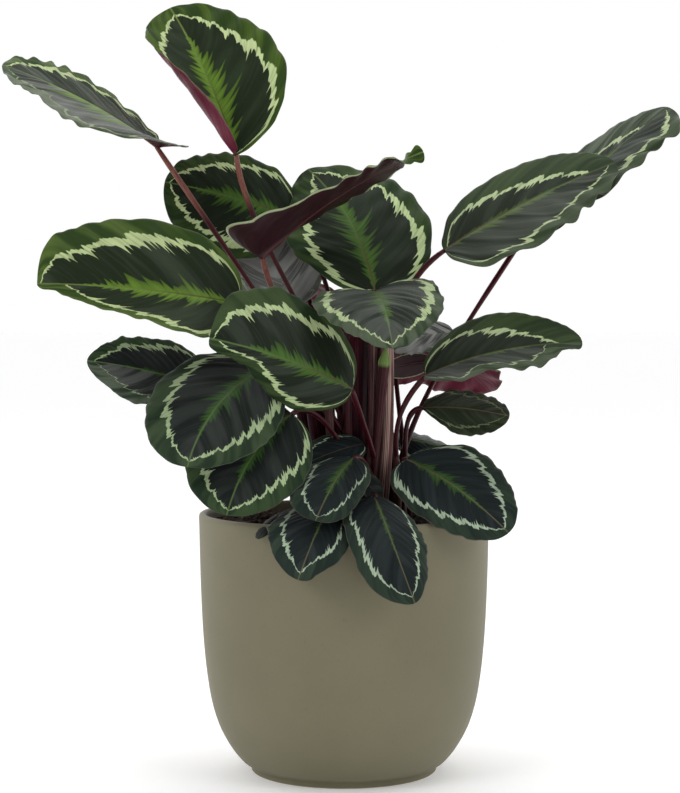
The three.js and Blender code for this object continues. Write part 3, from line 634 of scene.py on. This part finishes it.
def upperFace(name, look):
    paint, finish = Paint(name), bladeFinish
    across, along, reach, vein, seed = leafPlace(paint)
    room = paint.mark("room", "Fac")
    plume, band, paintedSheen = paint.split(paint.mark("habit"))
    side = across > 0
    key = seed * 7.3 + side * 3.1
    wander = paint.noise(paint.combine(vein * 3, key + 11, 0.0), detail=1.0) - 0.5
    loose = paint.noise(paint.combine(vein * 13, key + 5, reach * 0.8), detail=1.0) - 0.5
    dash = paint.noise(paint.combine(vein * 38, key + 17, reach * 0.6), detail=1.0)
    fine = paint.noise(paint.combine(vein * 60, key, reach * 1.5))
    stripe = paint.noise(paint.combine(vein * 8, key + 30, reach * 0.6), detail=1.5)
    blotch = paint.noise(paint.combine(across * 2.5, along * 3, key + 20))
    pores = paint.noise(paint.combine(across * 60, along * 120, key), detail=3.0)
    clumps = vein * look["clumps"]
    clump = (clumps + wander * 1.6 + seed * 0.37 + side * 0.4).saw(0.82)
    tooth = (clumps * 3.7 + wander * 5 + loose * 1.5).saw(0.72)
    spike = (clumps * 4.6 + wander * 7 + loose * 2.4).saw(0.6)

    # the light feather of strokes along the midrib, fading towards their tips
    swell = paint.ramp(vein, -0.14, 0.26) * (1 - paint.ramp(vein, 0.4, 0.86) * 0.97)
    feather = plume * look["featherWidth"] * swell * (clump * 0.66 + 0.34) * (tooth * 0.66 + 0.4)
    feather = feather * (loose * 1.3 + 1) + (fine - 0.5) * 0.03
    inFeather = (1 - paint.ramp(reach - feather, -0.012, 0.016)) * paint.ramp(plume, 0.0, 0.5)

    # the pale ring: arcs that swing out between the side veins, brushed in strokes along them
    margin = paint.ramp(along, 0.0, 0.45) * finish["marginGrows"] + finish["marginFrom"]
    middle = 1 - margin / room + (clump ** 0.5 - 0.62) * look["swing"] + wander * 0.1
    thick = (paint.ramp(loose, -0.2, 0.2) * 0.03 + 0.012) * look["ringWidth"] * band
    thick = thick + paint.ramp(dash, 0.42, 0.72) * 0.016 * band
    inner = middle - thick - spike ** 2.5 * (paint.ramp(loose, -0.1, 0.25) * 0.12 + 0.02) * band
    outer = middle + thick + (fine - 0.5) * 0.06 + (1 - spike) * 0.02 * band
    inRing = paint.ramp(reach - inner, -0.007, 0.009) * (1 - paint.ramp(reach - outer, -0.008, 0.009))
    inRing = inRing * (paint.ramp(fine, 0.25, 0.6) * 0.42 + 0.58) * paint.ramp(band, 0.0, 0.5)

    # the dark middle and the greener margin, both streaked along the side veins: partly the leaf's own
    # streaks and partly painted shading of its pleats
    centre = paint.mix(paint.ramp(stripe, 0.46, 0.64) * 0.6,
                       tint(*look["centre"], 0.94), tint(*look["centre"], 1.16, 10))
    centre = paint.mix(paint.ramp(fine, 0.45, 0.8) * 0.35, centre, tint(*look["centre"], lift=16))
    border = paint.mix(paint.ramp(stripe, 0.36, 0.62), tint(*look["edge"]), tint(*look["margin"]))
    border = paint.mix(paint.ramp(fine, 0.4, 0.8) * 0.4, border, tint(*look["edge"], 0.75))
    base = paint.mix(paint.ramp(reach - middle, -0.012, 0.014), centre, border)

    # the marks over it, then the midrib, the edge's thin line, darker blotches and a painted grey sheen
    plumeColour = paint.mix(paint.ramp(reach / (feather + 0.03), 0.15, 1.0),
                            tint(*look["feather"]), tint(*look["feather"], 0.66))
    plumeColour = paint.mix(paint.ramp(fine, 0.35, 0.7) * 0.5, plumeColour, tint(*look["feather"], 0.6))
    base = paint.mix(inFeather * 0.94, base, plumeColour)
    base = paint.mix(inRing, base, tint(*look["ring"]))
    midrib = paint.mix(paint.ramp(along, 0.15, 0.6), tint(*look["midribBase"]), tint(*look["midrib"]))
    base = paint.mix((1 - paint.ramp(reach * room, 0.006, 0.02)) * 0.75, base, midrib)
    base = paint.mix(paint.ramp(reach, 0.978, 0.995) * 0.65, base, tint(*look["line"]))
    base = paint.mix(paint.ramp(blotch, 0.5, 0.8) * 0.45, base, paint.mix(0.6, base, (0.008, 0.012, 0.008)))
    # painted sheen: pale grey streaks along the veins laid over the leaf's colour, where a shine would be
    sheen = paint.ramp(stripe, 0.42, 0.58) * 0.75 + paint.ramp(fine, 0.5, 0.75) * 0.3 + 0.15
    base = paint.mix(paintedSheen * sheen, base, tint(*finish["sheen"]))
    relief = fine * 0.7 + pores * 0.3 + stripe * 1.4
    return paint.finish({
        "Base Color": base, "Roughness": pores * 0.12 + finish["roughness"],
        "Specular IOR Level": finish["gloss"],
        "Normal": paint.bump(relief, finish["relief"], finish["reliefDepth"])})


# the lower face in lit and shaded copies: bright is painted lighter, as if lit through the blade; dark and
# rimmed are painted darker, in shade
# wine, pale: streaks of the lower face; rim: its edge, from that share of the half width on
underLooks = {
    "bright": dict(wine=(98, 25, 48), pale=(132, 42, 68), rim=(104, 84, 70), rimFrom=0.965),
    "dark": dict(wine=(52, 15, 23), pale=(80, 26, 37), rim=(100, 92, 72), rimFrom=0.965),
    "rimmed": dict(wine=(40, 12, 19), pale=(64, 20, 29), rim=(158, 168, 128), rimFrom=0.925),
}


def underFace(name, look):
    paint = Paint(name)
    across, along, reach, vein, seed = leafPlace(paint)
    key, rimFrom = seed * 5.1, look["rimFrom"]
    fine = paint.noise(paint.combine(vein * 60, key, reach * 1.5), detail=1.5)
    cloud = paint.noise(paint.combine(across * 2, along * 3, key + 9))
    colour = paint.mix(paint.ramp(fine, 0.35, 0.75) * 0.6, tint(*look["wine"]), tint(*look["pale"]))
    colour = paint.mix(paint.ramp(cloud, 0.3, 0.75) * 0.6, colour, tint(*look["wine"], 0.72))
    colour = paint.mix((1 - paint.ramp(reach, 0.02, 0.05)) * 0.5, colour, tint(104, 52, 52))
    ragged = reach + (fine - 0.5) * 0.03
    colour = paint.mix(paint.ramp(ragged, rimFrom, rimFrom + 0.025) * 0.85, colour, tint(*look["rim"]))
    return paint.finish({
        "Base Color": colour, "Roughness": 0.42 + cloud * 0.15, "Specular IOR Level": 0.3,
        "Normal": paint.bump(fine, 0.4, 0.0004)})


stemColours = {
    "dark": (36, 6, 13), "wine": (72, 14, 25), "brown": (62, 22, 24), "fleck": (116, 76, 74),
    "tan": (112, 62, 54), "pale": (140, 94, 80), "glint": (136, 110, 112), "sheath": (66, 42, 42),
}


def stemPaint(name):
    paint = Paint(name)
    tone = {key: tint(*colour) for key, colour in stemColours.items()}
    along, around, seed = paint.split(paint.mark("place"))
    light = paint.split(paint.mark("habit"))[0]
    streak = paint.noise(paint.combine(along * 3, around * 9, seed * 4.7))
    fleck = paint.noise(paint.combine(along * 60, around * 14, seed * 2.3))
    browned = paint.noise(paint.combine(seed * 9.1, 0.5, 0.5), detail=0.0)
    colour = paint.mix(paint.ramp(streak, 0.3, 0.75), tone["dark"], tone["wine"])
    colour = paint.mix(paint.ramp(browned, 0.42, 0.65) * 0.5, colour, tone["brown"])
    colour = paint.mix(paint.ramp(fleck, 0.62, 0.75) * 0.15, colour, tone["fleck"])
    upper = paint.ramp(along + (streak - 0.5) * 0.06, 0.81, 0.88) * light
    colour = paint.mix(upper * 0.85, colour,
                       paint.mix(paint.ramp(fleck, 0.3, 0.7), tone["tan"], tone["pale"]))
    # painted highlight: a pale glint streaked along one fixed side of each stem
    glint = paint.ramp(around, 0.62, 0.8) * paint.ramp(streak, 0.3, 0.6)
    colour = paint.mix(glint * (1 - light) * 0.15, colour, tone["glint"])
    sheath = (1 - paint.ramp(along, 0.1, 0.4)) * paint.ramp(streak, 0.46, 0.62)
    colour = paint.mix(sheath * 0.3, colour, tone["sheath"])
    return paint.finish({
        "Base Color": colour, "Roughness": 0.24 + fleck * 0.12, "Specular IOR Level": 0.16,
        "Normal": paint.bump(streak + fleck * 0.3, 0.3, 0.0004)})


upperPaints = {name: upperFace("leaf_" + name, look) for name, look in leafLooks.items()}
underPaints = {name: underFace("leaf_under_" + name, look) for name, look in underLooks.items()}
stemFinish = stemPaint("leaf_stem")

# the number sets the marks of each leaf apart
for number, (name, leaf) in enumerate(leaves.items()):
    under = underPaints[leaf.get("under", "dark")]
    blade = makeBlade("blade_" + name, leaf, number + 1.0, upperPaints[leaf["look"]], under)
    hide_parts("leaf_" + name)
    stem = makeStem("petiole_" + name, leaf, number + 1.0, stemFinish)
    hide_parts("stem_" + name)
print("leaves and stems", len(leaves))

# Smaller leaves and curled bits between the large ones, with the same keys and no stem of their own
smallLeaves = [
    dict(start=(84, 14, 332), end=(30, 2, 322), faces=(0, -0.5, 0.86),
         width=(20, 24), arch=3, left=(4, 10), right=(-6, 8), wave=(0.8, 6), pleat=0.5,
         look="middle", feather=0, ring=0.4, paintedSheen=1.5),
    dict(start=(66, 2, 311), end=(30, -6, 304), faces=(0, 0.9, 0.3),
         width=(9, 11), arch=3, left=(4, 30), right=(0, 10), wave=(0.4, 4), look="middle",
         under="rimmed"),
    dict(start=(78, 30, 316), end=(24, 26, 298), faces=(0, 0.8, 0.5),
         width=(15, 17), arch=3, left=(4, 10), right=(0, 10), wave=(0.8, 4), look="middle",
         under="bright"),
    dict(start=(-44, -76, 203), end=(-62, -101, 187), faces=(-0.2, -0.7, 0.6),
         width=(6, 7), arch=3, left=(30, 60), right=(20, 50), wave=(0.6, 4), look="low", feather=0,
         ring=0, paintedSheen=0.1),
    dict(start=(8, -46, 228), end=(27, -54, 212), faces=(0.2, -0.9, 0.4),
         width=(9, 9), arch=2, left=(0, 10), right=(0, 10), wave=(0.3, 4), look="low", feather=0,
         ring=0, paintedSheen=0.15),
    dict(start=(14, -34, 250), end=(-34, -58, 234), faces=(-0.1, -0.75, 0.6),
         width=(15, 18), arch=3, left=(0, 10), right=(0, 10), wave=(0.4, 4), look="low", feather=0,
         ring=0.6),
]
for number, leaf in enumerate(smallLeaves, 1):
    under = underPaints[leaf.get("under", "dark")]
    makeBlade("small_leaf_%d" % number, leaf, number + 40.0, upperPaints[leaf["look"]], under)
print("small leaves", len(smallLeaves))


# Shoots: rolled young leaves and the papery sheaths round them, which fill the crown

shootShape = {
    "sides": 20,
    "steps": 30,
    "overlap": 0.16,        # how far the rolled edge stands off, as a share of the radius
    "flutes": 9,
    "fluteHeight": 0.035,
    "twist": 1.2,           # from foot to top, in radians
    "litSide": 2.5,         # where round the shoot its painted lit side is: the sheath is painted paler there and darker round the far side
    "closesFrom": 0.93,     # the top closes to a point from here up
    "closesBy": 0.85,
    "point": 0.6,
    "greenFade": 6,         # over what length the sheath turns into the green blade
    "depth": 12,            # how deep in the soil the foot is
    "crown": 191,
}

# foot on the soil; top; bow: how far its middle stands aside in x and y; radius at the foot and
# near the top; tone: 0 is burgundy, 1 the pale sheath, painted paler on its lit side and darker on the far
# side; green: length of rolled blade above it
shoots = [
    dict(foot=(25, -14), top=(31, -27, 338), bow=(3, -2), radius=(6.4, 5.6), tone=1.0),
    dict(foot=(16, -16), top=(22, -26, 336), bow=(2, -2), radius=(4.6, 4.0), tone=0.4),
    dict(foot=(20, -20), top=(31, -35, 321), bow=(-1, -1), radius=(1.6, 5.2), tone=0.1, green=14),
    dict(foot=(14, 0), top=(8, -12, 340), bow=(-2, 0), radius=(4.0, 13.0), tone=0.0),
    dict(foot=(7, -12), top=(3, -26, 300), bow=(-2, 0), radius=(4.6, 3.4), tone=0.06),
    dict(foot=(2, -12), top=(-12, -28, 286), bow=(-3, -2), radius=(4.4, 3.4), tone=0.2),
    dict(foot=(-3, -8), top=(-26, -20, 280), bow=(-3, -2), radius=(4.0, 3.2), tone=0.0),
    dict(foot=(-5, 2), top=(-36, 0, 286), bow=(-3, 0), radius=(4.4, 3.4), tone=0.04),
    dict(foot=(37, -17), top=(39, -28, 240), bow=(2, -2), radius=(3.8, 2.8), tone=0.12),
    dict(foot=(8, 4), top=(-2, 0, 316), bow=(-2, 0), radius=(5.6, 5.0), tone=0.0),
    dict(foot=(20, 4), top=(22, 4, 322), bow=(1, 0), radius=(6.2, 5.4), tone=0.0),
    dict(foot=(0, 12), top=(-14, 18, 306), bow=(-2, 2), radius=(5.6, 5.0), tone=0.0),
    dict(foot=(12, 14), top=(8, 22, 312), bow=(0, 2), radius=(5.8, 5.2), tone=0.0, green=12),
    dict(foot=(28, 8), top=(26, 12, 316), bow=(0, 1), radius=(4.6, 3.6), tone=0.03),
    dict(foot=(40, 6), top=(45, 8, 240), bow=(1, 0), radius=(3.6, 2.6), tone=0.08),
    dict(foot=(-6, 12), top=(-26, 20, 268), bow=(-2, 2), radius=(4.4, 3.2), tone=0.1),
    dict(foot=(-2, 6), top=(-26, 10, 298), bow=(-3, 0), radius=(5.0, 11.0), tone=0.0),
]


def shootPaint(name):
    paint = Paint(name)
    along, around, seed = paint.split(paint.mark("place"))
    tone, above, _ = paint.split(paint.mark("habit"))
    stripe = paint.noise(paint.combine(along * 2, around * 26, seed * 3.3))
    cloud = paint.noise(paint.combine(along * 7, around * 3, seed * 5.9))
    dark = paint.mix(paint.ramp(stripe, 0.35, 0.65), tint(30, 5, 12), tint(62, 13, 25))
    light = paint.mix(paint.ramp(stripe, 0.4, 0.6), tint(92, 60, 58), tint(172, 146, 136))
    # painted light and shade: the pale sheath shows fully on the lit side and only faintly round the far
    # side
    share = tone * (paint.ramp(around, 0.3, 0.9) * 0.85 + 0.15) * (paint.ramp(cloud, 0.25, 0.6) * 0.5 + 0.6)
    leafGreen = paint.mix(paint.ramp(stripe, 0.3, 0.7), tint(70, 96, 44), tint(134, 160, 92))
    colour = paint.mix(paint.ramp(above, 0.0, 0.5), paint.mix(share, dark, light), leafGreen)
    return paint.finish({
        "Base Color": colour, "Roughness": 0.42 + cloud * 0.15, "Specular IOR Level": 0.1,
        "Normal": paint.bump(stripe, 0.45, 0.0006)})


def makeShoot(name, shoot, seed, paint):
    shape = shootShape
    sides, steps = shape["sides"], shape["steps"]
    foot = np.array([*shoot["foot"], shape["crown"] - shape["depth"]], float)
    top = np.array(shoot["top"], float)
    u = np.linspace(0, 1, steps)
    line = foot + (top - foot) * u[:, None] + np.array([*shoot["bow"], 0.0]) * np.sin(np.pi * u)[:, None]
    low, high = shoot["radius"]
    radii = (low + (high - low) * u) * (1 - smooth(u, shape["closesFrom"], 1.0) * shape["closesBy"])
    angles = np.linspace(0, 2 * np.pi, sides, endpoint=False)
    roll = 1 - shape["overlap"] * angles / (2 * np.pi)
    roll = roll * (1 + shape["fluteHeight"] * np.sin(shape["flutes"] * angles))
    tangent = unit(np.gradient(line, axis=0))
    rings, litSideShare = [], []
    for place, direction, radius, step in zip(line, tangent, radii, u):
        across = unit(np.cross(direction, [0.0, 1.0, 0.0]))
        deep = np.cross(direction, across)
        turn = angles + shape["twist"] * step + seed
        outward = np.cos(turn)[:, None] * across + np.sin(turn)[:, None] * deep
        rings.append(place + radius * roll[:, None] * outward)
        # how far each point faces the painted lit side
        litSideShare.append(np.cos(turn - shape["litSide"]) / 2 + 0.5)
    points = np.concatenate([*rings, [line[0]], [line[-1] + tangent[-1] * shape["point"]]])
    end = steps * sides
    faces = gridFaces(steps, sides, closed=True, flip=True) + endCaps(sides, steps, end, flip=True)
    spot = np.stack([np.repeat(u, sides), np.concatenate(litSideShare), np.full(end, seed)], 1)
    length = np.linalg.norm(top - foot)
    above = np.repeat(u, sides) * length - (length - shoot.get("green", 0))
    above = np.clip(above / shape["greenFade"], 0, 1)
    habit = np.stack([np.full(end, shoot["tone"]), above, np.zeros(end)], 1)
    ends = [[0, 0.5, seed], [1, 0.5, seed]]
    return meshPiece(name, points, faces, [paint], marks={
        "place": np.concatenate([spot, ends]), "habit": np.concatenate([habit, habit[[0, -1]]])})


shootFinish = shootPaint("leaf_shoot")
for number, shoot in enumerate(shoots, 1):
    makeShoot("shoot_%02d" % number, shoot, float(number), shootFinish)
print("shoots", len(shoots))


# Pot

# profiles of the turned pot: radius and height
potShape = {
    "segments": 168,
    "outside": [(70.5, 0.8), (70.5, 3.6), (72.2, 5.2), (76.5, 7.6), (82.5, 14), (88.5, 22.8),
                (94.8, 35), (100.2, 52), (104, 74), (106.9, 104), (108.8, 145), (109.8, 188),
                (110, 193.2)],
    "rim": [(109.6, 195.0), (108.5, 195.9), (107.0, 196.0), (105.4, 195.7), (104.3, 194.6)],
    "inside": [(103.9, 192.6), (103.2, 145), (101.2, 104), (98.2, 74), (94, 52), (87.8, 35),
               (80.5, 22.5), (72, 14.5), (62, 9), (0, 9)],
    "under": [(0, 2.2), (58, 2.2), (60, 1.4), (61.5, 0.0)],
    "footEdge": [(69.9, 0.15)],
}


def roundOff(profile, steps):
    # a smooth curve through the profile's points
    p = np.array(profile, float)
    padded = np.concatenate([[2 * p[0] - p[1]], p, [2 * p[-1] - p[-2]]])
    out = []
    for k in range(len(p) - 1):
        p0, p1, p2, p3 = padded[k:k + 4]
        d1, d2, d3 = (np.linalg.norm(v) ** 0.5 for v in (p1 - p0, p2 - p1, p3 - p2))
        m1 = (p2 - p1) + d2 * ((p1 - p0) / d1 - (p2 - p0) / (d1 + d2))
        m2 = (p2 - p1) + d2 * ((p3 - p2) / d3 - (p3 - p1) / (d2 + d3))
        for u in np.linspace(0, 1, steps, endpoint=False):
            out.append((2 * u ** 3 - 3 * u ** 2 + 1) * p1 + (u ** 3 - 2 * u ** 2 + u) * m1
                       + (3 * u ** 2 - 2 * u ** 3) * p2 + (u ** 3 - u ** 2) * m2)
    return [tuple(v) for v in out] + [tuple(p[-1])]


def lathePoints(profile, segments):
    angles = np.linspace(0, 2 * np.pi, segments, endpoint=False)
    p = np.array(profile, float)
    return np.stack([p[:, :1] * np.cos(angles), p[:, :1] * np.sin(angles), p[:, 1:] + 0 * angles], -1)


glaze = {"deep": (108, 104, 81), "light": (114, 109, 86), "speck": (98, 92, 72), "bare": (176, 160, 136)}


def potPaint():
    # matt glaze, faintly clouded and specked, worn to the clay under the foot
    paint = Paint("ceramic")
    tone = {key: tint(*colour) for key, colour in glaze.items()}
    where = paint.node("TexCoord", out="Object")
    cloud = paint.noise(where, 14.0, 3.0)
    grain = paint.noise(where, 900.0)
    speck = paint.noise(where, 420.0, 1.0)
    height = paint.split(where)[2]
    colour = paint.mix(paint.ramp(cloud, 0.3, 0.7), tone["deep"], tone["light"])
    colour = paint.mix(paint.ramp(speck, 0.66, 0.74) * 0.25, colour, tone["speck"])
    colour = paint.mix((1 - paint.ramp(height, 0.0002, 0.001)) * 0.8, colour, tone["bare"])
    return paint.finish({
        "Base Color": colour, "Roughness": 0.52 + grain * 0.12, "Specular IOR Level": 0.38,
        "Normal": paint.bump(grain + cloud * 0.6, 0.12, 0.0005)})


def makePot():
    shape = potShape
    profile = (shape["under"] + shape["footEdge"] + roundOff(shape["outside"], 5)
               + shape["rim"] + roundOff(shape["inside"][:-1], 4) + [shape["inside"][-1]])
    points = lathePoints(profile, shape["segments"]).reshape(-1, 3)
    faces = gridFaces(len(profile), shape["segments"], closed=True)
    piece = meshPiece("cover_pot", points, faces, [potPaint()])
    weld = piece.modifiers.new("weld", "WELD")  # the points on the axis become one
    weld.merge_threshold = 1e-6
    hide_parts("pot")


makePot()
print("pot")


# Soil

# side and top are the bed's profile, as radius and height
soilShape = {
    "rings": 92,
    "segments": 216,
    "innermost": 0.4,       # radius of the ring round the middle
    "side": [(103.0, 186.4), (102.8, 145), (100.8, 104), (97.8, 74), (93.6, 52), (87.4, 35),
             (80.2, 22.5), (71.7, 14.8), (61.7, 9.3)],
    "floor": 9.3,
    "top": [(103.5, 187), (88, 188.5), (60, 190.6), (0, 191)],
    "waves": [(0.05, 0.8), (0.13, 0.55), (0.33, 0.42), (0.8, 0.3), (1.7, 0.2)],
    "rough": 0.9,
    "grit": 0.22,
    "seed": 11,
}

# loose bits: how many, how large, how long for their width, how far they stand out of the bed
soilBits = {
    "soil_crumbs": dict(count=1500, size=(0.7, 2.4), stretch=(0.6, 1.0), lift=0.3,
                        paint=("soil_crumb", (28, 20, 16), (56, 42, 33), 0.85)),
    "bark_chips": dict(count=150, size=(1.8, 4.2), stretch=(0.25, 0.5), lift=0.45,
                       paint=("bark_chip", (46, 32, 22), (80, 58, 40), 0.75)),
    "perlite": dict(count=46, size=(0.8, 1.6), stretch=(0.7, 1.0), lift=0.6,
                    paint=("perlite", (190, 184, 170), (214, 208, 196), 0.8)),
}
bitShape = dict(reach=101, clearOfStems=4.2, lumpy=0.16, flat=(0.4, 0.8), tip=0.5)


def soilHeight(radius):
    r, z = zip(*sorted(soilShape["top"]))
    return np.interp(radius, r, z)


def unevenness(x, y, random):
    waves = 0
    for scale, size in soilShape["waves"]:
        for _ in range(5):
            angle, phase = random.uniform(0, 2 * np.pi, 2)
            k = scale * random.uniform(0.7, 1.4)
            waves = waves + size * np.sin(k * (x * np.cos(angle) + y * np.sin(angle)) * 2 + phase) / 2.2
    return waves


def soilPaint(name, dark, light, roughness):
    paint = Paint(name)
    where = paint.node("TexCoord", out="Object")
    grain = paint.noise(where, 700.0, 4.0)
    clump = paint.noise(where, 120.0, 3.0)
    colour = paint.mix(paint.ramp(grain, 0.35, 0.7), tint(*dark), tint(*light))
    colour = paint.mix(paint.ramp(clump, 0.35, 0.65) * 0.5, colour, tint(*dark, 0.6))
    return paint.finish({
        "Base Color": colour, "Roughness": roughness + grain * 0.1, "Specular IOR Level": 0.25,
        "Normal": paint.bump(grain + clump, 0.8, 0.001)})


def icosphere():
    g = (1 + 5 ** 0.5) / 2
    corners = [(-1, g, 0), (1, g, 0), (-1, -g, 0), (1, -g, 0), (0, -1, g), (0, 1, g),
               (0, -1, -g), (0, 1, -g), (g, 0, -1), (g, 0, 1), (-g, 0, -1), (-g, 0, 1)]
    faces = [(0, 11, 5), (0, 5, 1), (0, 1, 7), (0, 7, 10), (0, 10, 11), (1, 5, 9), (5, 11, 4),
             (11, 10, 2), (10, 7, 6), (7, 1, 8), (3, 9, 4), (3, 4, 2), (3, 2, 6), (3, 6, 8),
             (3, 8, 9), (4, 9, 5), (2, 4, 11), (6, 2, 10), (8, 6, 7), (9, 8, 1)]
    return unit(np.array(corners, float)), faces


def scatter(name, kind, random):
    # lumps strewn over the bed, but not where a stem stands
    shape = bitShape
    reach = shape["reach"]
    roots = np.array([leaf["root"] for leaf in leaves.values()], float)
    ball, ballFaces = icosphere()
    lumps, faces = [], []
    while len(lumps) < kind["count"]:
        place = random.uniform(-reach, reach, 2)
        fromStem = np.min(np.hypot(*(roots - place).T))
        if np.hypot(*place) > reach or fromStem < shape["clearOfStems"]:
            continue
        size = random.uniform(*kind["size"])
        lump = ball * (1 + random.normal(0, shape["lumpy"], (len(ball), 1)))
        lump = lump * size * np.array([1, random.uniform(*kind["stretch"]), random.uniform(*shape["flat"])])
        turn, tip = random.uniform(0, 2 * np.pi), random.uniform(-shape["tip"], shape["tip"])
        c, s = math.cos(turn), math.sin(turn)
        spin = np.array([[c, -s, 0], [s, c, 0], [0, 0, 1]])
        c, s = math.cos(tip), math.sin(tip)
        tilt = np.array([[1, 0, 0], [0, c, -s], [0, s, c]])
        height = soilHeight(np.hypot(*place)) + kind["lift"] * size
        faces += [tuple(v + len(lumps) * len(ball) for v in face) for face in ballFaces]
        lumps.append(lump @ tilt.T @ spin.T + [*place, height])
    meshPiece(name, np.concatenate(lumps), faces, [soilPaint(*kind["paint"])])


def makeSoil():
    shape = soilShape
    segments = shape["segments"]
    random = np.random.default_rng(shape["seed"])
    radius = np.linspace(shape["innermost"], shape["side"][0][0], shape["rings"])
    angles = np.linspace(0, 2 * np.pi, segments, endpoint=False)
    x, y = radius[:, None] * np.cos(angles), radius[:, None] * np.sin(angles)
    calm = smooth(shape["top"][0][0] - radius, 0, 4)[:, None]  # level at the pot's wall
    z = soilHeight(radius)[:, None] + shape["rough"] * unevenness(x, y, random) * calm
    z = z + random.normal(0, shape["grit"], z.shape)
    side = roundOff(shape["side"], 3) + [(shape["innermost"], shape["floor"])]
    rings = np.concatenate([np.stack([x, y, z], -1), lathePoints(side, segments)])
    middle = [[0, 0, soilHeight(0)], [0, 0, shape["floor"]]]
    points = np.concatenate([rings.reshape(-1, 3), middle])
    faces = gridFaces(len(rings), segments, closed=True, flip=True)
    faces += endCaps(segments, len(rings), len(points) - 2, flip=True)
    paint = soilPaint("potting_soil", (26, 19, 15), (46, 34, 27), 0.85)
    bed = meshPiece("soil_bed", points, faces, [paint])
    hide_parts("soil")
    for name, kind in soilBits.items():
        scatter(name, kind, random)


makeSoil()
print("soil")


# Floor, light and camera

floorShape = dict(half=40.0, height=-0.0002, shade=0.88, glow=0.2)


def makeStage():
    half, height = floorShape["half"], floorShape["height"]
    corners = [(x * half, y * half, height) for x, y in ((-1, -1), (1, -1), (1, 1), (-1, 1))]
    mesh = bpy.data.meshes.new("floor")
    mesh.from_pydata(corners, [], [(0, 1, 2, 3)])
    floor = bpy.data.objects.new("floor", mesh)
    bpy.context.scene.collection.objects.link(floor)
    mesh.materials.append(Paint("pale_floor").finish({
        "Base Color": (floorShape["shade"],) * 3, "Roughness": 0.9, "Specular IOR Level": 0.1,
        "Emission Color": (1, 1, 1), "Emission Strength": floorShape["glow"]}))


# how bright the studio is by direction: dim in front, bright behind
studio = dict(dimFrom=-0.45, brightFrom=0.55, front=0.3, behind=1.5)
lamps = {
    "top": dict(place=(0.1, -0.2, 2.6), aim=(0, 0, 0.3), size=1.8, power=14),
    "frontLeft": dict(place=(-1.9, -1.8, 1.7), aim=(0, 0, 0.3), size=1.3, power=22),
    "frontRight": dict(place=(1.9, -1.6, 1.5), aim=(0, 0, 0.3), size=1.3, power=14),
}


def makeLamps():
    for name, lamp in lamps.items():
        light = bpy.data.lights.new(name, "AREA")
        light.shape, light.size, light.energy = "DISK", lamp["size"], lamp["power"]
        lampObject = bpy.data.objects.new(name, light)
        bpy.context.scene.collection.objects.link(lampObject)
        lampObject.location = lamp["place"]
        toward = Vector(lamp["aim"]) - Vector(lamp["place"])
        lampObject.rotation_euler = toward.to_track_quat("-Z", "Y").to_euler()


def makeStudio():
    # white for the camera; for the object the studio
    world = bpy.data.worlds.new("studio")
    bpy.context.scene.world = world
    world.use_nodes = True
    nodes, links = world.node_tree.nodes, world.node_tree.links
    nodes.clear()
    output, mixer = nodes.new("ShaderNodeOutputWorld"), nodes.new("ShaderNodeMixShader")
    seen, lit = nodes.new("ShaderNodeBackground"), nodes.new("ShaderNodeBackground")
    path, where = nodes.new("ShaderNodeLightPath"), nodes.new("ShaderNodeTexCoord")
    split, level = nodes.new("ShaderNodeSeparateXYZ"), nodes.new("ShaderNodeMapRange")
    level.interpolation_type = "SMOOTHSTEP"
    for socket, key in enumerate(("dimFrom", "brightFrom", "front", "behind"), 1):
        level.inputs[socket].default_value = studio[key]
    links.new(where.outputs["Generated"], split.inputs[0])
    links.new(split.outputs["Y"], level.inputs[0])
    links.new(level.outputs[0], lit.inputs["Strength"])
    links.new(path.outputs["Is Camera Ray"], mixer.inputs[0])
    links.new(lit.outputs[0], mixer.inputs[1])
    links.new(seen.outputs[0], mixer.inputs[2])
    links.new(mixer.outputs[0], output.inputs[0])
    for shade in (seen, lit):
        shade.inputs["Color"].default_value = (1, 1, 1, 1)


cameraShape = dict(place=(-0.003, -1.526, 0.344), down=2.26, lens=91.4, sensor=36, clip=(0.05, 50))


def makeCamera():
    lens = bpy.data.cameras.new("camera")
    lens.lens, lens.sensor_width = cameraShape["lens"], cameraShape["sensor"]
    lens.clip_start, lens.clip_end = cameraShape["clip"]
    camera = bpy.data.objects.new("camera", lens)
    bpy.context.scene.collection.objects.link(camera)
    camera.location = cameraShape["place"]
    camera.rotation_euler = (math.radians(90 - cameraShape["down"]), 0, 0)
    bpy.context.scene.camera = camera


makeStage()
makeLamps()
makeStudio()
makeCamera()
bpy.context.scene.view_settings.view_transform = "Standard"
print("stage, lamps and camera")
